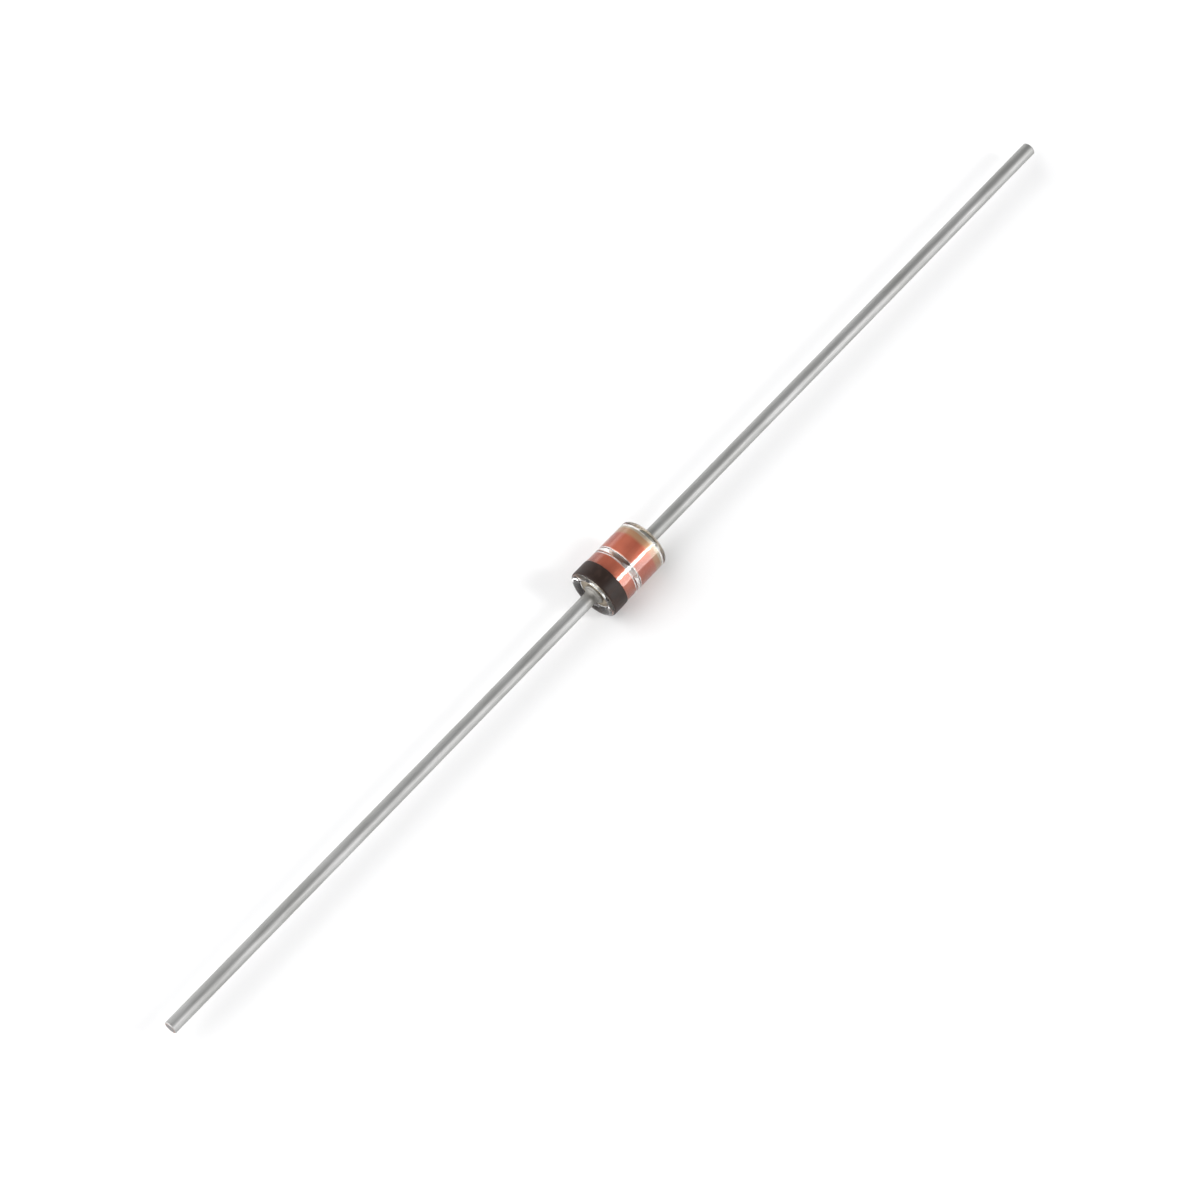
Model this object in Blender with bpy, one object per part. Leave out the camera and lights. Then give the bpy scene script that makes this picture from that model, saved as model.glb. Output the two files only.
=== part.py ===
"""Axial zener diode in glass: two wire leads welded to copper clad studs, and a silicon chip
held between the studs in a fused glass sleeve. Units are metres. The leads lie along X, with the
banded cathode at -X and the anode at +X, and the origin is the middle of the body."""

import math

import bmesh
import bpy
from mathutils import Vector

MM = 0.001

# Glass sleeve
BODY_LENGTH = 3.6 * MM
GLASS_WALL = 0.34 * MM
SHOULDER_RADIUS = 0.2 * MM
SHOULDER_LIMIT = 0.8
LIP_REACH = 0.15 * MM
END_RECESS = 0.22 * MM

# Studs
STUD_DIAMETER = 1.8 * MM
STUD_EDGE = 0.05 * MM

# Chip and its two contacts
DIE_SIDE = 1.1 * MM
DIE_THICKNESS = 0.2 * MM
DIE_EDGE = 0.012 * MM
BUMP_DIAMETER = 0.7 * MM
BUMP_HEIGHT = 0.05 * MM
BACK_CONTACT_THICKNESS = 0.03 * MM

# Leads
WIRE_DIAMETER = 0.64 * MM
LEAD_REACH = 26.8 * MM
WELD_DIAMETER = 1.0 * MM
WELD_LENGTH = 0.4 * MM
WELD_RIM = 0.08 * MM
TIP_CHAMFER = 0.04 * MM

# Printed cathode ring, which also covers this many degrees of the sleeve's shoulder
BAND_WIDTH = 0.85 * MM
BAND_WRAP = 30
INK_THICKNESS = 0.02 * MM

# Hair gaps that keep neighbouring solids apart where the real ones are fused, pressed or printed
SEAL_GAP = 0.01 * MM
CONTACT_GAP = 0.01 * MM
INK_GAP = 0.004 * MM

# Facets
BODY_SIDES = 60
WIRE_SIDES = 32
ARC_STEPS = 8
MERGE = 1e-4 * MM
SHARP_ANGLE = math.radians(35)

# Sizes that follow from those above
STUD_RADIUS = STUD_DIAMETER / 2
BORE_RADIUS = STUD_RADIUS + SEAL_GAP
BODY_RADIUS = BORE_RADIUS + GLASS_WALL
LIP_RADIUS = STUD_RADIUS - LIP_REACH
SHOULDER = min(SHOULDER_RADIUS, SHOULDER_LIMIT * (BODY_RADIUS - LIP_RADIUS))
BODY_END = BODY_LENGTH / 2
STUD_OUTER_FACE = BODY_END - END_RECESS
STACK_LENGTH = BACK_CONTACT_THICKNESS + DIE_THICKNESS + BUMP_HEIGHT + 4 * CONTACT_GAP
STUD_INNER_FACE = STACK_LENGTH / 2
WELD_SEAT = STUD_OUTER_FACE + CONTACT_GAP
LEAD_LENGTH = BODY_END + LEAD_REACH - WELD_SEAT

CATHODE = math.pi
ANODE = 0.0


def arc(centre, reach, start, end):
    """Points of an arc or quarter ellipse in (along the axis, radius), angles in degrees."""
    points = []
    for step in range(ARC_STEPS + 1):
        angle = math.radians(start + (end - start) * step / ARC_STEPS)
        along = centre[0] + reach[0] * math.cos(angle)
        radius = centre[1] + reach[1] * math.sin(angle)
        points.append((along, radius))
    return points


def turned(profile, sides, closed=False):
    """A mesh turned about X from (along, radius) points. A closed profile makes a ring."""
    bm = bmesh.new()
    verts = [bm.verts.new((along, 0, radius)) for along, radius in profile]
    ends = verts[1:] + verts[:1] if closed else verts[1:]
    edges = [bm.edges.new(pair) for pair in zip(verts, ends)]
    bmesh.ops.spin(
        bm,
        geom=verts + edges,
        cent=(0, 0, 0),
        axis=(1, 0, 0),
        angle=2 * math.pi,
        steps=sides,
        use_merge=True,
    )
    bmesh.ops.remove_doubles(bm, verts=bm.verts, dist=MERGE)
    return to_mesh(bm)


def block(length, side, edge):
    """A square block standing on the YZ plane and running along +X, with its edges broken."""
    bm = bmesh.new()
    bmesh.ops.create_cube(bm, size=1)
    bmesh.ops.scale(bm, vec=(length, side, side), verts=bm.verts)
    bmesh.ops.translate(bm, vec=(length / 2, 0, 0), verts=bm.verts)
    if edge > 0:
        bmesh.ops.bevel(bm, geom=bm.edges, offset=edge, segments=1, affect="EDGES")
    return to_mesh(bm)


def to_mesh(bm):
    """The closed shape as a smooth shaded mesh whose faces point outwards."""
    bmesh.ops.recalc_face_normals(bm, faces=bm.faces)
    if bm.calc_volume(signed=True) < 0:
        bmesh.ops.reverse_faces(bm, faces=bm.faces)
    mesh = bpy.data.meshes.new("shape")
    bm.to_mesh(mesh)
    bm.free()
    mesh.shade_smooth()
    mesh.set_sharp_from_angle(angle=SHARP_ANGLE)
    return mesh


def finish(name, colour, roughness, metallic=0.0, transmission=0.0, ior=1.5):
    material = bpy.data.materials.new(name)
    material.use_nodes = True
    shader = material.node_tree.nodes["Principled BSDF"]
    shader.inputs["Base Color"].default_value = (*colour, 1)
    shader.inputs["Roughness"].default_value = roughness
    shader.inputs["Metallic"].default_value = metallic
    shader.inputs["Transmission Weight"].default_value = transmission
    shader.inputs["IOR"].default_value = ior
    return material


def place(name, mesh, material, along=0.0, turn=ANODE):
    """Puts a piece on the axis. A turn of half a circle points it at the cathode."""
    mesh.name = name
    mesh.materials.append(material)
    piece = bpy.data.objects.new(name, mesh)
    piece.location = Vector((along, 0, 0))
    piece.rotation_euler = (0, 0, turn)
    piece.parent = diode
    bpy.context.scene.collection.objects.link(piece)
    return piece


def sleeve_end():
    """The rounded end at +X, from the outer wall over the crest to the lip by the stud's face."""
    crest = BODY_RADIUS - SHOULDER
    outer = arc((BODY_END - SHOULDER, crest), (SHOULDER, SHOULDER), 90, 0)
    depth = BODY_END - WELD_SEAT
    inner = arc((WELD_SEAT, crest), (depth, crest - LIP_RADIUS), 0, -90)
    return outer + inner[1:]


def glass_sleeve():
    """A tube whose fire polished ends are drawn in past the edges of the studs that it holds."""
    right = sleeve_end() + [(WELD_SEAT, BORE_RADIUS)]
    left = [(-along, radius) for along, radius in reversed(right)]
    glass = finish("clear_glass", (0.94, 0.96, 0.94), 0.02, transmission=1.0, ior=1.53)
    place("glass_sleeve", turned(right + left, BODY_SIDES, closed=True), glass)


def stud(name, turn):
    """A plug of copper clad wire, its round edges broken, from the chip to the weld."""
    length = STUD_OUTER_FACE - STUD_INNER_FACE
    rim = STUD_RADIUS - STUD_EDGE
    profile = [
        (0, 0),
        (0, rim),
        (STUD_EDGE, STUD_RADIUS),
        (length - STUD_EDGE, STUD_RADIUS),
        (length, rim),
        (length, 0),
    ]
    copper = finish(name, (0.62, 0.16, 0.08), 0.35, metallic=1.0)
    toward = math.cos(turn)
    place(name, turned(profile, BODY_SIDES), copper, toward * STUD_INNER_FACE, turn)


def lead(name, turn):
    """Straight round wire with the rim and fillet of its butt weld at the stud, cut square."""
    wire = WIRE_DIAMETER / 2
    swell = WELD_DIAMETER / 2 - WELD_RIM
    rim = arc((WELD_RIM, swell), (WELD_RIM, WELD_RIM), 180, 0)
    fillet = arc((WELD_LENGTH, swell), (2 * WELD_RIM - WELD_LENGTH, wire - swell), 0, 90)
    tip = [(LEAD_LENGTH - TIP_CHAMFER, wire), (LEAD_LENGTH, wire - TIP_CHAMFER), (LEAD_LENGTH, 0)]
    profile = [(0, 0)] + rim + fillet[1:] + tip
    tin = finish(name, (0.62, 0.62, 0.61), 0.28, metallic=1.0)
    toward = math.cos(turn)
    place(name, turned(profile, WIRE_SIDES), tin, toward * WELD_SEAT, turn)


def chip_stack():
    """Silver back, silicon chip and silver bump, in the gap between the studs, cathode to anode."""
    along = CONTACT_GAP - STUD_INNER_FACE
    silver = finish("die_back_contact", (0.86, 0.85, 0.82), 0.3, metallic=1.0)
    back = block(BACK_CONTACT_THICKNESS, DIE_SIDE, 0)
    place("die_back_contact", back, silver, along)

    along += BACK_CONTACT_THICKNESS + CONTACT_GAP
    silicon = finish("zener_die", (0.09, 0.09, 0.11), 0.2, metallic=0.6)
    place("zener_die", block(DIE_THICKNESS, DIE_SIDE, DIE_EDGE), silicon, along)

    along += DIE_THICKNESS + CONTACT_GAP
    plated = finish("die_bump", (0.86, 0.85, 0.82), 0.35, metallic=1.0)
    shoulder = BUMP_DIAMETER / 2 - BUMP_HEIGHT
    crown = arc((0, shoulder), (BUMP_HEIGHT, BUMP_HEIGHT), 90, 0)
    bump = turned([(0, 0)] + crown + [(BUMP_HEIGHT, 0)], WIRE_SIDES)
    place("die_bump", bump, plated, along)


def cathode_band():
    """The ink ring, rolled on from partway round the sleeve's shoulder to a slant edge on its wall."""
    crest = (BODY_END - SHOULDER, BODY_RADIUS - SHOULDER)
    under = SHOULDER + INK_GAP
    over = under + INK_THICKNESS
    edge = 90 - BAND_WRAP
    inner = arc(crest, (under, under), edge, 90)
    outer = arc(crest, (over, over), 90, edge)
    end = inner[0][0] - BAND_WIDTH
    wall = [(end, crest[1] + under), (end + INK_THICKNESS, crest[1] + over)]
    ink = finish("cathode_band", (0.012, 0.01, 0.01), 0.4)
    ring = turned(inner + wall + outer, BODY_SIDES, closed=True)
    place("cathode_band", ring, ink, turn=CATHODE)


for old in list(bpy.data.objects):
    bpy.data.objects.remove(old, do_unlink=True)

diode = bpy.data.objects.new("zener_diode", None)
bpy.context.scene.collection.objects.link(diode)

glass_sleeve()
cathode_band()
stud("cathode_stud", CATHODE)
stud("anode_stud", ANODE)
chip_stack()
lead("cathode_lead", CATHODE)
lead("anode_lead", ANODE)
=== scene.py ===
import math

import bmesh
import bpy
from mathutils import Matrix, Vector


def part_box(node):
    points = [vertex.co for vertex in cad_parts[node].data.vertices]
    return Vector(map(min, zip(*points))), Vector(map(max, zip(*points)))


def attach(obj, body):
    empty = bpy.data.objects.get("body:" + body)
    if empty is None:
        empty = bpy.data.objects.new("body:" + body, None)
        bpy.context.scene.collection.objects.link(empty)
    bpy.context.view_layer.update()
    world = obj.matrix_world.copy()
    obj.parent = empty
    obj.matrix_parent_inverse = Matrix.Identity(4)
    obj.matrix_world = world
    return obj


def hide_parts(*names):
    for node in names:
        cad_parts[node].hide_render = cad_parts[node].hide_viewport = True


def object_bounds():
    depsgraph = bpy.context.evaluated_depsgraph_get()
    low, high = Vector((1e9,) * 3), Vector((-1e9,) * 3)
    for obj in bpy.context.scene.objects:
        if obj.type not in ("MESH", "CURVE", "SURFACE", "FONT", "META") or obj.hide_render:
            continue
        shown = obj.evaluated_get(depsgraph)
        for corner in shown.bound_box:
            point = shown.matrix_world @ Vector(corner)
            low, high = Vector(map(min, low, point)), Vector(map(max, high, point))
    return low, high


# Zener diode in glass, seen from above. The leads lie along X, cathode at -X.
# Sizes are in metres here, and in millimetres inside the materials.

millimetres = 1000
endNames = {1: "anode", -1: "cathode"}

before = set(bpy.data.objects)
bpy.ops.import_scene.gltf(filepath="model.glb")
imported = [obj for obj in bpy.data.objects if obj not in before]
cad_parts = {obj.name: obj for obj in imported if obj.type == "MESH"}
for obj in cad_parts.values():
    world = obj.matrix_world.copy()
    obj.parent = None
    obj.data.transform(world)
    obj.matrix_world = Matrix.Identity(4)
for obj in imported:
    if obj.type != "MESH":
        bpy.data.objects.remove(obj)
cadBox = [list(corner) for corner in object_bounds()]

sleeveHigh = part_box("glass_sleeve")[1]
studLow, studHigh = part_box("anode_stud")
leadLow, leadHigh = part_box("anode_lead")
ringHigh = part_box("cathode_band")[1]
bumpLow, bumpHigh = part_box("die_bump")
bodyEnd = sleeveHigh.x
bodyRadius = sleeveHigh.z
bodyMillimetres = [round(2 * size * millimetres, 2) for size in (bodyEnd, bodyRadius)]
print("Frame: body", bodyMillimetres[0], "by", bodyMillimetres[1], "mm")


# Turned shapes. A half section is drawn as edges and a Geometry Nodes lathe turns it about X.

lathe = {
    "hubRadius": 0.005,      # circle that carries the half section, taken off again from each radius
    "weldGap": 5e-7,         # points closer than this become one
    "sharpDegrees": 32,
    "rippleDetail": 2,
}


def arcPoints(centre, reach, start, end, steps=14):
    # along and radius of points on a quarter ellipse, angles in degrees
    points = []
    for step in range(steps + 1):
        angle = math.radians(start + (end - start) * step / steps)
        points.append((centre[0] + reach[0] * math.cos(angle), centre[1] + reach[1] * math.sin(angle)))
    return points


def nodeIn(tree, kind, **settings):
    node = tree.nodes.new(kind)
    for key, value in settings.items():
        setattr(node, key, value)
    return node


def mathIn(tree, operation, first, second=None):
    # one Math node, fed by sockets or plain numbers
    node = nodeIn(tree, "ShaderNodeMath", operation=operation)
    for socket, value in zip(node.inputs, (first, second)):
        if value is None:
            continue
        if isinstance(value, (int, float)):
            socket.default_value = value
        else:
            tree.links.new(value, socket)
    return node.outputs[0]


def buildLathe():
    tree = bpy.data.node_groups.new("turnedPiece", "GeometryNodeTree")
    sockets = [
        ("Half Section", "NodeSocketGeometry", None),
        ("Sides", "NodeSocketInt", 96),
        ("Ripple", "NodeSocketFloat", 0.0),
        ("Ripple Size", "NodeSocketFloat", 0.0004),
        ("Edge Wander", "NodeSocketFloat", 0.0),
        ("Full To", "NodeSocketFloat", 1.0),
        ("Gone At", "NodeSocketFloat", 2.0),
        ("Seed", "NodeSocketFloat", 1.0),
        ("Finish", "NodeSocketMaterial", None),
    ]
    for label, kind, value in sockets:
        socket = tree.interface.new_socket(label, in_out="INPUT", socket_type=kind)
        if value is not None:
            socket.default_value = value
    tree.interface.new_socket("Piece", in_out="OUTPUT", socket_type="NodeSocketGeometry")
    given = nodeIn(tree, "NodeGroupInput").outputs
    result = nodeIn(tree, "NodeGroupOutput").inputs

    # the half section is swept round a circle, stood up along X and welded at the axis
    section = nodeIn(tree, "GeometryNodeMeshToCurve")
    circle = nodeIn(tree, "GeometryNodeCurvePrimitiveCircle")
    circle.inputs["Radius"].default_value = lathe["hubRadius"]
    sweep = nodeIn(tree, "GeometryNodeCurveToMesh")
    stand = nodeIn(tree, "GeometryNodeTransform")
    stand.inputs["Rotation"].default_value = (0, math.pi / 2, 0)
    weld = nodeIn(tree, "GeometryNodeMergeByDistance")
    weld.inputs["Distance"].default_value = lathe["weldGap"]
    tree.links.new(given["Half Section"], section.inputs[0])
    tree.links.new(given["Sides"], circle.inputs["Resolution"])
    tree.links.new(circle.outputs["Curve"], sweep.inputs["Curve"])
    tree.links.new(section.outputs[0], sweep.inputs["Profile Curve"])
    tree.links.new(sweep.outputs[0], stand.inputs[0])
    tree.links.new(stand.outputs[0], weld.inputs[0])

    # a fixed noise ripples the radius, at full strength up to one distance from the middle of the
    # body and gone at another
    position = nodeIn(tree, "GeometryNodeInputPosition").outputs[0]
    split = nodeIn(tree, "ShaderNodeSeparateXYZ")
    tree.links.new(position, split.inputs[0])
    noise = nodeIn(tree, "ShaderNodeTexNoise", noise_dimensions="4D")
    noise.inputs["Detail"].default_value = lathe["rippleDetail"]
    tree.links.new(position, noise.inputs["Vector"])
    tree.links.new(mathIn(tree, "DIVIDE", 1.0, given["Ripple Size"]), noise.inputs["Scale"])
    tree.links.new(given["Seed"], noise.inputs["W"])
    fade = nodeIn(tree, "ShaderNodeMapRange")
    fade.inputs["To Min"].default_value = 1
    fade.inputs["To Max"].default_value = 0
    tree.links.new(mathIn(tree, "ABSOLUTE", split.outputs["X"]), fade.inputs["Value"])
    tree.links.new(given["Full To"], fade.inputs["From Min"])
    tree.links.new(given["Gone At"], fade.inputs["From Max"])
    centred = mathIn(tree, "SUBTRACT", noise.outputs[0], 0.5)
    faded = mathIn(tree, "MULTIPLY", centred, fade.outputs[0])
    swell = mathIn(tree, "MULTIPLY", faded, given["Ripple"])
    radial = nodeIn(tree, "ShaderNodeCombineXYZ")
    tree.links.new(split.outputs["Y"], radial.inputs["Y"])
    tree.links.new(split.outputs["Z"], radial.inputs["Z"])
    outward = nodeIn(tree, "ShaderNodeVectorMath", operation="NORMALIZE")
    tree.links.new(radial.outputs[0], outward.inputs[0])
    push = nodeIn(tree, "ShaderNodeVectorMath", operation="SCALE")
    tree.links.new(outward.outputs[0], push.inputs[0])
    tree.links.new(swell, push.inputs["Scale"])

    # the same noise lets the free edge of a printed ring wander along the axis
    wander = nodeIn(tree, "ShaderNodeCombineXYZ")
    tree.links.new(mathIn(tree, "MULTIPLY", faded, given["Edge Wander"]), wander.inputs["X"])
    both = nodeIn(tree, "ShaderNodeVectorMath", operation="ADD")
    tree.links.new(push.outputs[0], both.inputs[0])
    tree.links.new(wander.outputs[0], both.inputs[1])
    shift = nodeIn(tree, "GeometryNodeSetPosition")
    tree.links.new(weld.outputs[0], shift.inputs["Geometry"])
    tree.links.new(both.outputs[0], shift.inputs["Offset"])

    realize = nodeIn(tree, "GeometryNodeRealizeInstances")
    coat = nodeIn(tree, "GeometryNodeSetMaterial")
    tree.links.new(shift.outputs[0], realize.inputs[0])
    tree.links.new(realize.outputs[0], coat.inputs[0])
    tree.links.new(given["Finish"], coat.inputs["Material"])
    tree.links.new(coat.outputs[0], result["Piece"])
    return tree


latheTree = buildLathe()


def turned(name, halfSection, finish, isRing=False, **sizes):
    # a finished mesh at the origin, from (along, radius) points and the lathe's own inputs
    hub = lathe["hubRadius"]
    drawn = bpy.data.meshes.new(name + "Section")
    count = len(halfSection)
    edges = [(i, i + 1) for i in range(count - 1)]
    if isRing:
        edges.append((count - 1, 0))
    drawn.from_pydata([(radius - hub, -along, 0) for along, radius in halfSection], edges, [])
    holder = bpy.data.objects.new(name + "Section", drawn)
    bpy.context.scene.collection.objects.link(holder)
    spin = holder.modifiers.new("lathe", "NODES")
    spin.node_group = latheTree
    sockets = {s.name: s.identifier for s in latheTree.interface.items_tree if s.in_out == "INPUT"}
    spin[sockets["Finish"]] = finish
    for label, value in sizes.items():
        spin[sockets[label]] = value
    view = bpy.context.evaluated_depsgraph_get()
    shape = bpy.data.meshes.new_from_object(holder.evaluated_get(view))
    bpy.data.objects.remove(holder)
    bpy.data.meshes.remove(drawn)

    solid = bmesh.new()
    solid.from_mesh(shape)
    bmesh.ops.remove_doubles(solid, verts=solid.verts, dist=lathe["weldGap"])
    bmesh.ops.recalc_face_normals(solid, faces=solid.faces)
    if solid.calc_volume(signed=True) < 0:
        bmesh.ops.reverse_faces(solid, faces=solid.faces)
    solid.to_mesh(shape)
    solid.free()
    shape.name = name
    shape.shade_smooth()
    shape.set_sharp_from_angle(angle=math.radians(lathe["sharpDegrees"]))
    piece = bpy.data.objects.new(name, shape)
    bpy.context.scene.collection.objects.link(piece)
    return piece


def seat(piece, slotName, *nodes):
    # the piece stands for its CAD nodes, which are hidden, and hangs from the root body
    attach(piece, "root")
    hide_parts(*nodes)


# Effects that several finishes share

wear = {
    "lineStretch": 40,       # how many times longer than wide the die lines are
    "lineDetail": 3,
    "patchStretch": 2.5,
    "patchDetail": 4,
    "faintest": 0.3,         # noise from here to the strongest becomes 0 to 1
    "strongest": 0.7,
}

film = {
    "stretch": 1.6,
    "detail": 5,
    "faintest": 0.45,
    "strongest": 0.72,
    "waveSize": 2.0,         # how many times wider than the film's spots the waves are
    "waveStretch": 3,
    "waveDetail": 0,
}


def shaderGroup(name, inputs, outputs):
    group = bpy.data.node_groups.new(name, "ShaderNodeTree")
    for label, kind, value in inputs:
        socket = group.interface.new_socket(label, in_out="INPUT", socket_type=kind)
        if value is not None:
            socket.default_value = value
    for label in outputs:
        group.interface.new_socket(label, in_out="OUTPUT", socket_type="NodeSocketFloat")
    start = nodeIn(group, "NodeGroupInput")
    end = nodeIn(group, "NodeGroupOutput")
    return group, start.outputs, end.inputs


def stretchedNoise(group, position, size, stretch, detail):
    # noise of a feature size in millimetres, drawn out along X
    scaled = nodeIn(group, "ShaderNodeVectorMath", operation="MULTIPLY")
    scaled.inputs[1].default_value = (1 / stretch, 1, 1)
    group.links.new(position, scaled.inputs[0])
    noise = nodeIn(group, "ShaderNodeTexNoise")
    noise.inputs["Detail"].default_value = detail
    group.links.new(scaled.outputs[0], noise.inputs["Vector"])
    group.links.new(mathIn(group, "DIVIDE", 1.0, size), noise.inputs["Scale"])
    return noise.outputs[0]


def spread(group, noise, effect, target):
    # the noise between its faintest and its strongest becomes 0 to 1
    widened = nodeIn(group, "ShaderNodeMapRange")
    widened.inputs["From Min"].default_value = effect["faintest"]
    widened.inputs["From Max"].default_value = effect["strongest"]
    group.links.new(noise, widened.inputs["Value"])
    group.links.new(widened.outputs[0], target)


def buildDrawnWear():
    # die lines that drawing leaves along a wire, and cloudy patches in its plating
    group, given, result = shaderGroup(
        "drawnWear",
        [
            ("Position", "NodeSocketVector", None),
            ("Line Width", "NodeSocketFloat", 0.03),
            ("Patch Size", "NodeSocketFloat", 0.5),
        ],
        ["Lines", "Patches"],
    )
    place = given["Position"]
    lines = stretchedNoise(group, place, given["Line Width"], wear["lineStretch"], wear["lineDetail"])
    patches = stretchedNoise(group, place, given["Patch Size"], wear["patchStretch"], wear["patchDetail"])
    spread(group, lines, wear, result["Lines"])
    spread(group, patches, wear, result["Patches"])
    return group


def buildFingerFilm():
    # the thin uneven film that handling leaves on a smooth surface
    group, given, result = shaderGroup(
        "fingerFilm",
        [("Position", "NodeSocketVector", None), ("Size", "NodeSocketFloat", 0.6)],
        ["Film", "Wave"],
    )
    place = given["Position"]
    spots = stretchedNoise(group, place, given["Size"], film["stretch"], film["detail"])
    spread(group, spots, film, result["Film"])
    waveSize = mathIn(group, "MULTIPLY", given["Size"], film["waveSize"])
    wave = stretchedNoise(group, place, waveSize, film["waveStretch"], film["waveDetail"])
    group.links.new(wave, result["Wave"])
    return group


drawnWear = buildDrawnWear()
fingerFilm = buildFingerFilm()
print("Shared effects: drawnWear, fingerFilm")


# Finishes

class Finish:
    # one material and the few calls that each finish needs
    def __init__(self, name, **constants):
        self.material = bpy.data.materials.new(name)
        self.material.use_nodes = True
        self.tree = self.material.node_tree
        self.shader = self.tree.nodes["Principled BSDF"]
        for label, value in constants.items():
            self.shader.inputs[label].default_value = value
        place = nodeIn(self.tree, "ShaderNodeTexCoord")
        inMillimetres = nodeIn(self.tree, "ShaderNodeVectorMath", operation="SCALE")
        inMillimetres.inputs["Scale"].default_value = millimetres
        self.link(place.outputs["Object"], inMillimetres.inputs[0])
        self.position = inMillimetres.outputs[0]
        split = nodeIn(self.tree, "ShaderNodeSeparateXYZ")
        self.link(self.position, split.inputs[0])
        self.fromMiddle = mathIn(self.tree, "ABSOLUTE", split.outputs["X"])
        flat = nodeIn(self.tree, "ShaderNodeVectorMath", operation="MULTIPLY")
        flat.inputs[1].default_value = (0, 1, 1)
        self.link(self.position, flat.inputs[0])
        away = nodeIn(self.tree, "ShaderNodeVectorMath", operation="LENGTH")
        self.link(flat.outputs[0], away.inputs[0])
        self.fromAxis = away.outputs["Value"]

    def link(self, source, target):
        self.tree.links.new(source, target)

    def effect(self, group, **sizes):
        # a shared effect, with its sizes in metres
        node = nodeIn(self.tree, "ShaderNodeGroup", node_tree=group)
        self.link(self.position, node.inputs["Position"])
        for label, size in sizes.items():
            node.inputs[label].default_value = size * millimetres
        return node.outputs

    def metalWear(self, piece):
        # the wear of drawn metal, with the line width and patch size of a piece's dictionary
        return self.effect(drawnWear, **{"Line Width": piece["lineWidth"], "Patch Size": piece["patchSize"]})

    def blend(self, share, low, high):
        # a colour between two, each a colour or a socket
        node = nodeIn(self.tree, "ShaderNodeMix", data_type="RGBA")
        self.link(share, node.inputs["Factor"])
        for socket, colour in ((node.inputs["A"], low), (node.inputs["B"], high)):
            if isinstance(colour, tuple):
                socket.default_value = (*colour, 1)
            else:
                self.link(colour, socket)
        return node.outputs["Result"]

    def span(self, value, low, high, start=0.0, end=1.0):
        # value from start to end becomes low to high, and stays there beyond
        node = nodeIn(self.tree, "ShaderNodeMapRange")
        for label, number in zip(("From Min", "From Max", "To Min", "To Max"), (start, end, low, high)):
            node.inputs[label].default_value = number
        self.link(value, node.inputs["Value"])
        return node.outputs[0]

    def beyond(self, distance, start, fade):
        # 0 up to a distance from the middle or the axis, and 1 once the fade after it is over
        return self.span(distance, 0, 1, start * millimetres, (start + fade) * millimetres)

    def colour(self, source):
        self.link(source, self.shader.inputs["Base Color"])

    def roughness(self, source):
        self.link(source, self.shader.inputs["Roughness"])

    def bump(self, height, depth, strength):
        node = nodeIn(self.tree, "ShaderNodeBump")
        node.inputs["Distance"].default_value = depth
        node.inputs["Strength"].default_value = strength
        self.link(height, node.inputs["Height"])
        self.link(node.outputs[0], self.shader.inputs["Normal"])


wire = {
    "radius": 0.00032,
    "weldLength": 0.0004,
    "weldRim": 0.00008,
    "weldSteps": 10,
    "tipChamfer": 0.00004,
    "tipTrim": 1e-7,         # keeps the tip just inside the CAD box
    "runs": 30,              # how many lengths of facets the straight wire has
    "sides": 48,
    "ripple": 0.00006,       # how uneven the bead of the weld is
    "rippleSize": 0.0003,
    "rippleSeed": 3.0,
    "lineWidth": 0.000035,
    "patchSize": 0.0009,
    "brightTin": (0.46, 0.46, 0.455),
    "dullTin": (0.365, 0.365, 0.355),
    "weldTint": (0.3, 0.29, 0.27),
    "burntBefore": 0.00005,  # the weld's tint fades from just before its end to well beyond it
    "burntBeyond": 0.0005,
    "steel": (0.24, 0.24, 0.245),
    "brightSteel": (0.36, 0.36, 0.36),
    "copper": (0.42, 0.21, 0.14),
    "coreRadius": 0.000245,
    "coreBlur": 0.000006,
    "jacketRadius": 0.000274,
    "jacketInside": 0.00001,     # how far the jacket's rim blurs inwards, and outwards into the tin
    "jacketOutside": 0.000004,
    "smear": 0.00003,        # how unevenly the cutter drags one metal over the next
    "smearSize": 0.00005,
    "cutFrom": 0.000006,     # the cut face starts this close to the tip
    "cutFade": 0.000004,
    "roughness": (0.5, 0.62),
    "dullest": 0.65,
    "lineBump": (0.000002, 0.35),
}


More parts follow.
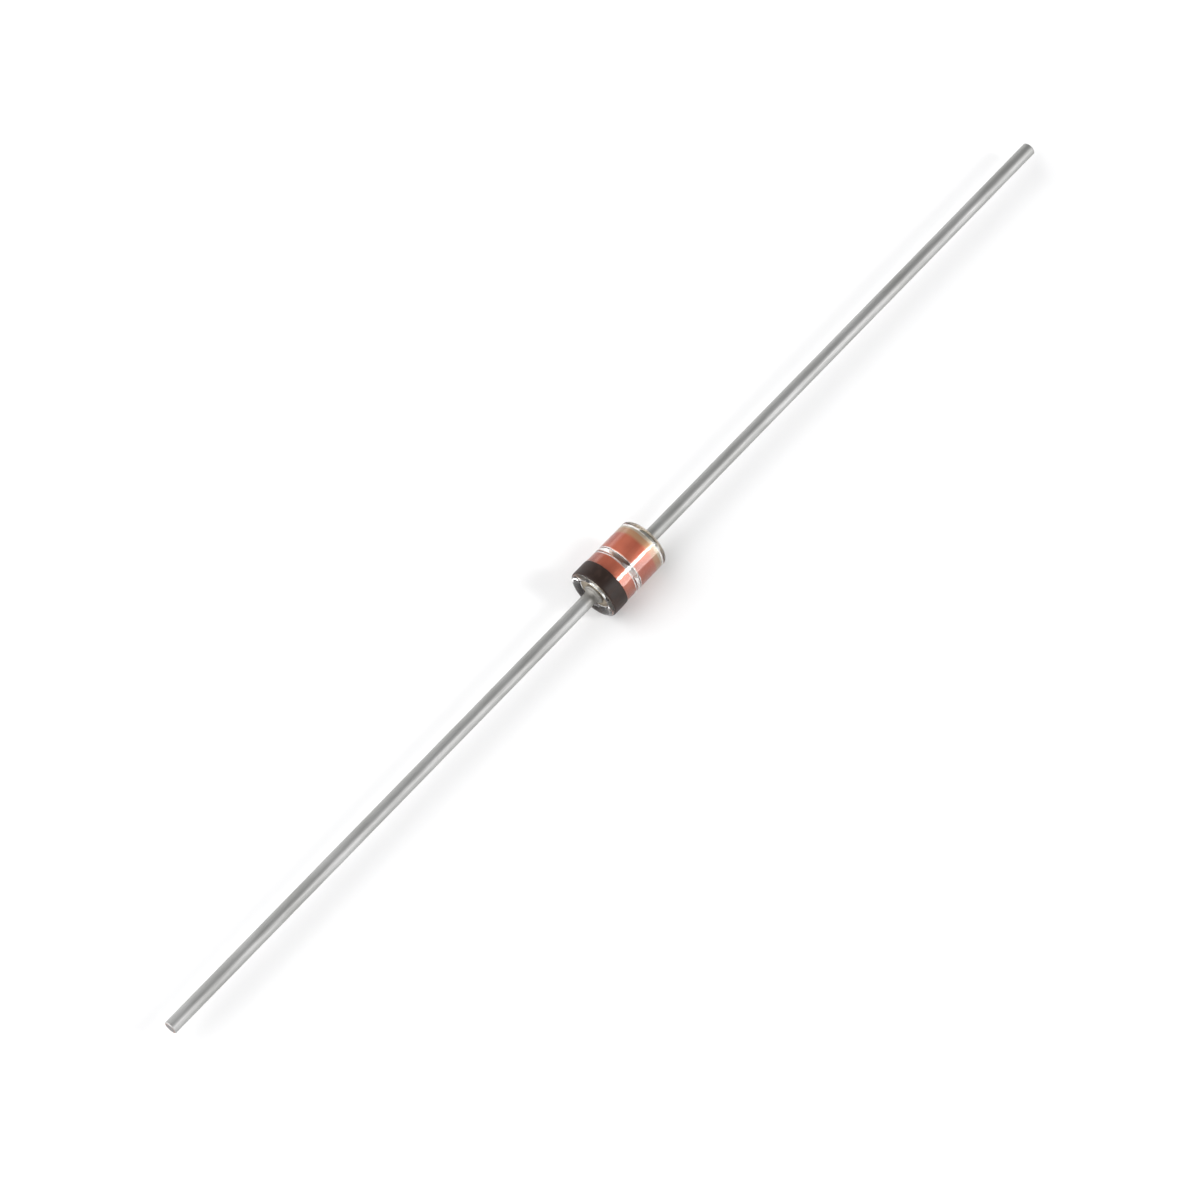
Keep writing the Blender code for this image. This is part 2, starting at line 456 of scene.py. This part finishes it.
def tinnedWire():
    tin = Finish("tinnedWire", Metallic=1.0)
    worn = tin.metalWear(wire)
    plating = tin.blend(worn["Patches"], wire["brightTin"], wire["dullTin"])
    weldEnd = leadLow.x + wire["weldLength"]
    burntFrom = (weldEnd - wire["burntBefore"]) * millimetres
    burntTo = (weldEnd + wire["burntBeyond"]) * millimetres
    burnt = tin.span(tin.fromMiddle, 1, 0, burntFrom, burntTo)
    skin = tin.blend(burnt, plating, wire["weldTint"])

    # the square cut shows a steel core in a thin copper jacket, with tin dragged over the edge
    drag = tin.effect(fingerFilm, Size=wire["smearSize"])
    smear = wire["smear"] * millimetres
    reach = mathIn(tin.tree, "ADD", tin.fromAxis, tin.span(drag["Wave"], -smear, smear))
    core = tin.blend(drag["Film"], wire["steel"], wire["brightSteel"])
    inCopper = tin.beyond(reach, wire["coreRadius"] - wire["coreBlur"], 2 * wire["coreBlur"])
    cutFace = tin.blend(inCopper, core, wire["copper"])
    jacketBlur = wire["jacketInside"] + wire["jacketOutside"]
    inTin = tin.beyond(reach, wire["jacketRadius"] - wire["jacketInside"], jacketBlur)
    cutFace = tin.blend(inTin, cutFace, plating)
    onCut = tin.beyond(tin.fromMiddle, leadHigh.x - wire["cutFrom"], wire["cutFade"])
    tin.colour(tin.blend(onCut, skin, cutFace))
    lined = tin.span(worn["Lines"], *wire["roughness"])
    dull = mathIn(tin.tree, "MULTIPLY", mathIn(tin.tree, "MAXIMUM", burnt, onCut), wire["dullest"])
    tin.roughness(mathIn(tin.tree, "MAXIMUM", lined, dull))
    tin.bump(worn["Lines"], *wire["lineBump"])
    return tin.material


stud = {
    "edge": 0.00005,
    "edgeSteps": 4,
    "sides": 128,
    "lineWidth": 0.000022,
    "patchSize": 0.0008,
    "copperPink": (0.47, 0.135, 0.075),
    "brickRed": (0.35, 0.07, 0.038),
    "oxide": (0.12, 0.03, 0.02),
    "oxideFrom": 0.55,       # only the strongest of the die lines hold oxide
    "oxideMost": 0.16,
    "cleanCopper": (0.66, 0.42, 0.33),
    "cleanReach": 0.00001,   # how far the clean copper of the inner face runs over its edge
    "cleanFade": 0.00003,
    "goldenOxide": (0.37, 0.2, 0.108),
    "goldReach": 0.00034,    # length of the paler, golden stretch of oxide before the tin
    "goldFade": 0.00014,
    "tinnedFace": (0.43, 0.365, 0.285),
    "tinReach": 0.00012,     # how far the tin of the outer face runs back over the edge
    "tinWander": 0.00008,
    "tinFade": 0.00003,
    "copperMetal": 0.6,      # between a plain coat at 0 and bare metal at 1
    "tinMetal": 0.9,
    "roughness": (0.36, 0.52),
    "lineBump": (0.000003, 0.5),
}


def sealedCopper():
    # copper under glass turns orange to brick red; the outer face is tinned with the leads
    copper = Finish("sealedCopper")
    worn = copper.metalWear(stud)
    red = copper.blend(worn["Patches"], stud["copperPink"], stud["brickRed"])
    darkLines = copper.span(worn["Lines"], 0, stud["oxideMost"], stud["oxideFrom"], 1.0)
    skin = copper.blend(darkLines, red, stud["oxide"])
    # the inner faces are clean copper, and the oxide is golden next to the tin, like the photo's tan end
    cleanTo = studLow.x + stud["cleanReach"]
    underGlass = copper.beyond(copper.fromMiddle, cleanTo, stud["cleanFade"])
    skin = copper.blend(underGlass, stud["cleanCopper"], skin)
    wander = mathIn(copper.tree, "MULTIPLY", worn["Patches"], stud["tinWander"] * millimetres)
    reached = mathIn(copper.tree, "ADD", copper.fromMiddle, wander)
    tinStart = studHigh.x - stud["tinReach"]
    paled = copper.beyond(reached, tinStart - stud["goldReach"], stud["goldFade"])
    skin = copper.blend(paled, skin, stud["goldenOxide"])
    onFace = copper.beyond(reached, tinStart, stud["tinFade"])
    copper.colour(copper.blend(onFace, skin, stud["tinnedFace"]))
    copper.link(copper.span(onFace, stud["copperMetal"], stud["tinMetal"]), copper.shader.inputs["Metallic"])
    copper.roughness(copper.span(worn["Patches"], *stud["roughness"]))
    copper.bump(worn["Lines"], *stud["lineBump"])
    return copper.material


sleeve = {
    "shoulder": 0.0002,
    "lipRadius": 0.00075,    # the lip is drawn in to here, past the edge of the stud's outer face
    "wallRings": (-0.0009, -0.0003, 0.0003, 0.0009),     # where the facets of the long wall are split
    "sides": 160,
    "fused": 0.000003,       # how far the glass reaches into each stud, so that no air shows between them
    "sag": 0.00007,          # how far the glass bulges into the gap between the studs
    "tint": (0.985, 0.992, 0.98),
    "shadowTint": (0.93, 0.945, 0.93),
    "index": 1.55,
    "filmSize": 0.0005,
    "roughness": (0.0, 0.06),
    "waveBump": (0.00002, 0.4),
}


def sealingGlass():
    glass = Finish("sealingGlass", **{"Transmission Weight": 1.0, "IOR": sleeve["index"], "Metallic": 0.0})
    glass.shader.inputs["Base Color"].default_value = (*sleeve["tint"], 1)
    touch = glass.effect(fingerFilm, Size=sleeve["filmSize"])
    glass.roughness(glass.span(touch["Film"], *sleeve["roughness"]))
    glass.bump(touch["Wave"], *sleeve["waveBump"])
    # lamps shine straight through to the studs
    through = nodeIn(glass.tree, "ShaderNodeBsdfTransparent")
    through.inputs["Color"].default_value = (*sleeve["shadowTint"], 1)
    rays = nodeIn(glass.tree, "ShaderNodeLightPath")
    either = nodeIn(glass.tree, "ShaderNodeMixShader")
    glass.link(rays.outputs["Is Shadow Ray"], either.inputs[0])
    glass.link(glass.shader.outputs[0], either.inputs[1])
    glass.link(through.outputs[0], either.inputs[2])
    glass.link(either.outputs[0], glass.tree.nodes["Material Output"].inputs["Surface"])
    return glass.material


ring = {
    "wrapDegrees": 30,       # how far the ink reaches round the shoulder
    "bond": 0.000002,        # how far the ink sinks into the glass, so that it shows dark from inside
    "feather": 0.00002,
    "featherDegrees": 5,
    "wander": 0.00004,
    "wanderSize": 0.0005,
    "wanderSeed": 7.0,
    "sides": 160,
    "ink": (0.021, 0.011, 0.008),
    "thinInk": (0.04, 0.022, 0.016),
    "shine": 0.26,
    "filmSize": 0.00025,
    "roughness": (0.45, 0.6),
    "waveBump": (0.000004, 0.4),
}


def printedInk():
    ink = Finish("printedInk", **{"Specular IOR Level": ring["shine"]})
    touch = ink.effect(fingerFilm, Size=ring["filmSize"])
    ink.colour(ink.blend(touch["Film"], ring["ink"], ring["thinInk"]))
    ink.roughness(ink.span(touch["Film"], *ring["roughness"]))
    ink.bump(touch["Wave"], *ring["waveBump"])
    return ink.material


chip = {
    "silicon": (0.27, 0.27, 0.28),
    "sawnEdge": (0.42, 0.42, 0.42),
    "siliconMetal": 0.15,
    "grainSize": 0.00012,
    "siliconRoughness": (0.35, 0.6),
    "bumpSides": 64,
    "bumpSteps": 8,
    "silver": (0.88, 0.87, 0.84),
    "tarnish": (0.62, 0.59, 0.52),
    "lineWidth": 0.00004,
    "patchSize": 0.00015,
    "silverRoughness": (0.25, 0.42),
}


def sawnSilicon():
    silicon = Finish("sawnSilicon", Metallic=chip["siliconMetal"])
    touch = silicon.effect(fingerFilm, Size=chip["grainSize"])
    silicon.colour(silicon.blend(touch["Film"], chip["silicon"], chip["sawnEdge"]))
    silicon.roughness(silicon.span(touch["Film"], *chip["siliconRoughness"]))
    return silicon.material


def platedSilver():
    silver = Finish("platedSilver", Metallic=1.0)
    worn = silver.metalWear(chip)
    silver.colour(silver.blend(worn["Patches"], chip["silver"], chip["tarnish"]))
    silver.roughness(silver.span(worn["Lines"], *chip["silverRoughness"]))
    return silver.material


tinFinish = tinnedWire()
copperFinish = sealedCopper()
glassFinish = sealingGlass()
inkFinish = printedInk()
siliconFinish = sawnSilicon()
silverFinish = platedSilver()
print("Finishes: tin, copper, glass, ink, silicon, silver")


# Pieces

def mirrored(points):
    return [(-along, radius) for along, radius in reversed(points)]


def glassSleeve():
    # rounded ends are drawn in past the edges of the studs, and the bore reaches just into the studs
    bore = studHigh.z - sleeve["fused"]
    face = studHigh.x - sleeve["fused"]
    shoulder = sleeve["shoulder"]
    crest = bodyRadius - shoulder
    end = arcPoints((bodyEnd - shoulder, crest), (shoulder, shoulder), 90, 0)
    end += arcPoints((face, crest), (bodyEnd - face, crest - sleeve["lipRadius"]), 0, -90)[1:]
    end.append((face, bore))
    wall = [(along, bodyRadius) for along in sleeve["wallRings"]]
    sag = arcPoints((0, bore), (studLow.x, -sleeve["sag"]), 0, 180)
    section = mirrored(end) + wall + end + sag
    piece = turned("glassSleeve", section, glassFinish, isRing=True, Sides=sleeve["sides"])
    seat(piece, "glass", "glass_sleeve")


def plainStud(side):
    edge, steps = stud["edge"], stud["edgeSteps"]
    low, high = studLow.x, studHigh.x
    rim = studHigh.z - edge
    section = [(low, 0), (low, rim / 2), (low, rim)]
    section += arcPoints((low + edge, rim), (edge, edge), 180, 90, steps)[1:]
    section += [((low + high) / 2, studHigh.z)]
    section += arcPoints((high - edge, rim), (edge, edge), 90, 0, steps)
    section += [(high, rim / 2), (high, 0)]
    if side < 0:
        section = mirrored(section)
    piece = turned(endNames[side] + "Stud", section, copperFinish, Sides=stud["sides"])
    seat(piece, "stud_copper", endNames[side] + "_stud")


def plainLead(side):
    # butt weld rim and fillet at the foot, then straight wire to a square cut
    foot, tip, radius = leadLow.x, leadHigh.x - wire["tipTrim"], wire["radius"]
    rim, chamfer, steps = wire["weldRim"], wire["tipChamfer"], wire["weldSteps"]
    swell = leadHigh.z - rim
    start = foot + wire["weldLength"]
    section = [(foot, 0)]
    section += arcPoints((foot + rim, swell), (rim, rim), 180, 0, steps)
    fillet = (2 * rim - wire["weldLength"], radius - swell)
    section += arcPoints((start, swell), fillet, 0, 90, steps)[1:]
    straight = tip - chamfer - start
    section += [(start + straight * i / wire["runs"], radius) for i in range(1, wire["runs"] + 1)]
    section += [(tip, radius - chamfer), (tip, 0)]
    if side < 0:
        section = mirrored(section)
    bead = {"Ripple": wire["ripple"], "Ripple Size": wire["rippleSize"], "Seed": wire["rippleSeed"] + side}
    bead["Full To"] = foot + rim
    bead["Gone At"] = start
    piece = turned(endNames[side] + "Lead", section, tinFinish, Sides=wire["sides"], **bead)
    seat(piece, "tinned_wire", endNames[side] + "_lead")


def cathodeRing():
    # the ink starts partway round the shoulder, and its other edge lies uneven on the wall
    shoulder = sleeve["shoulder"]
    crest = (bodyEnd - shoulder, bodyRadius - shoulder)
    under = shoulder - ring["bond"]
    over = shoulder + ringHigh.z - bodyRadius
    start = 90 - ring["wrapDegrees"]
    edge = -ringHigh.x + ring["wander"] / 2
    section = arcPoints(crest, (under, under), start, 90)
    section += [(edge, crest[1] + under), (edge + ring["feather"], crest[1] + over)]
    section += arcPoints(crest, (over, over), 90, start + ring["featherDegrees"])
    uneven = {"Edge Wander": ring["wander"], "Ripple Size": ring["wanderSize"], "Seed": ring["wanderSeed"]}
    uneven["Full To"] = edge + ring["wander"]
    uneven["Gone At"] = crest[0]
    piece = turned("cathodeRing", mirrored(section), inkFinish, isRing=True, Sides=ring["sides"], **uneven)
    seat(piece, "band_ink", "cathode_band")


def silverBump():
    height, radius = bumpHigh.x - bumpLow.x, bumpHigh.z
    section = [(bumpLow.x, 0), (bumpLow.x, radius / 2)]
    section += arcPoints((bumpLow.x, radius - height), (height, height), 90, 0, chip["bumpSteps"])
    section.append((bumpHigh.x, 0))
    piece = turned("silverBump", section, silverFinish, Sides=chip["bumpSides"])
    seat(piece, "silver", "die_bump")


def dress(node, finish):
    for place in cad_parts[node].material_slots:
        place.material = finish


glassSleeve()
for side in (1, -1):
    plainStud(side)
    plainLead(side)
cathodeRing()
silverBump()
dress("zener_die", siliconFinish)
dress("die_back_contact", silverFinish)
print("Pieces: sleeve, two studs, two leads, ring, bump, and the chip with its back contact")


# Studio

studio = {
    "floorSize": 3.0,
    "floorWhite": (0.93, 0.93, 0.93),
    "floorDimmer": 0.99,     # how much of its white the floor keeps in the dimmest spots
    "floorSpots": 0.04,
    "floorRoughness": 0.9,
    "zenith": (0.21, 0.21, 0.215),
    "horizon": (1.6, 1.6, 1.6),
    "skyFrom": 0.12,         # sine of the elevation where the room starts to darken, and where it ends
    "skyTo": 0.45,
    "lamps": [
        # name, azimuth, elevation, distance, width, height, watts
        ("windowLamp", -127, 38, 0.9, 1.4, 1.2, 14.2),
        ("tallPanel", 24, 26, 0.6, 0.14, 0.5, 1.05),
        ("stripLamp", 25, 40, 0.6, 0.08, 0.12, 0.6),
    ],
}


def towards(azimuth, elevation):
    # azimuth 0 is in front, looking along +Y, and 90 is on the +X side
    a, e = math.radians(azimuth), math.radians(elevation)
    return Vector((math.sin(a) * math.cos(e), -math.cos(a) * math.cos(e), math.sin(e)))


def paleFloor():
    half = studio["floorSize"] / 2
    height = cadBox[0][2]
    mesh = bpy.data.meshes.new("paleFloor")
    corners = [(-half, -half, height), (half, -half, height), (half, half, height), (-half, half, height)]
    mesh.from_pydata(corners, [], [(0, 1, 2, 3)])
    floor = bpy.data.objects.new("paleFloor", mesh)
    bpy.context.scene.collection.objects.link(floor)
    paper = Finish("paleFloor", Roughness=studio["floorRoughness"])
    touch = paper.effect(fingerFilm, Size=studio["floorSpots"])
    white = studio["floorWhite"]
    dimmer = tuple(channel * studio["floorDimmer"] for channel in white)
    paper.colour(paper.blend(touch["Film"], white, dimmer))
    mesh.materials.append(paper.material)


def roomLight():
    world = bpy.data.worlds.new("room")
    bpy.context.scene.world = world
    world.use_nodes = True
    tree = world.node_tree
    place = nodeIn(tree, "ShaderNodeTexCoord")
    split = nodeIn(tree, "ShaderNodeSeparateXYZ")
    tree.links.new(place.outputs["Generated"], split.inputs[0])
    climb = nodeIn(tree, "ShaderNodeMapRange", interpolation_type="SMOOTHSTEP")
    climb.inputs["From Min"].default_value = studio["skyFrom"]
    climb.inputs["From Max"].default_value = studio["skyTo"]
    tree.links.new(split.outputs["Z"], climb.inputs["Value"])
    sky = nodeIn(tree, "ShaderNodeMix", data_type="RGBA")
    sky.inputs["A"].default_value = (*studio["horizon"], 1)
    sky.inputs["B"].default_value = (*studio["zenith"], 1)
    tree.links.new(climb.outputs[0], sky.inputs["Factor"])
    tree.links.new(sky.outputs["Result"], tree.nodes["Background"].inputs["Color"])


def softLamps():
    for name, azimuth, elevation, distance, width, height, watts in studio["lamps"]:
        lamp = bpy.data.lights.new(name, "AREA")
        lamp.shape = "RECTANGLE"
        lamp.size = width
        lamp.size_y = height
        lamp.energy = watts
        holder = bpy.data.objects.new(name, lamp)
        aim = towards(azimuth, elevation)
        holder.location = aim * distance
        holder.rotation_euler = aim.to_track_quat("Z", "Y").to_euler()
        bpy.context.scene.collection.objects.link(holder)


paleFloor()
roomLight()
softLamps()
bpy.context.scene.view_settings.view_transform = "Standard"
print("Studio: pale floor, room light and", len(studio["lamps"]), "soft lamps")


# Camera

eye = {
    "azimuth": -49.0,
    "elevation": 63.05,
    "distance": 0.2184,
    "lens": 150,             # assumed; another lens gives another tilt and distance for the same picture
    "sensor": 36,
    "frame": 1200,
    "bodyPixel": (618.9, 568.6),   # the middle of the body, worked out mainly from the tips of the leads
    "nearest": 0.005,
    "farthest": 10,
}


def photoCamera():
    back = towards(eye["azimuth"], eye["elevation"])
    turn = math.radians(eye["azimuth"])
    right = Vector((math.cos(turn), math.sin(turn), 0))
    up = back.cross(right)
    perPixel = eye["distance"] * eye["sensor"] / eye["lens"] / eye["frame"]
    across, down = [(pixel - eye["frame"] / 2) * perPixel for pixel in eye["bodyPixel"]]
    lensData = bpy.data.cameras.new("photoCamera")
    lensData.lens = eye["lens"]
    lensData.sensor_width = eye["sensor"]
    lensData.clip_start = eye["nearest"]
    lensData.clip_end = eye["farthest"]
    camera = bpy.data.objects.new("photoCamera", lensData)
    camera.location = back * eye["distance"] - right * across + up * down
    camera.rotation_euler = back.to_track_quat("Z", "Y").to_euler()
    bpy.context.scene.collection.objects.link(camera)
    bpy.context.scene.camera = camera


photoCamera()
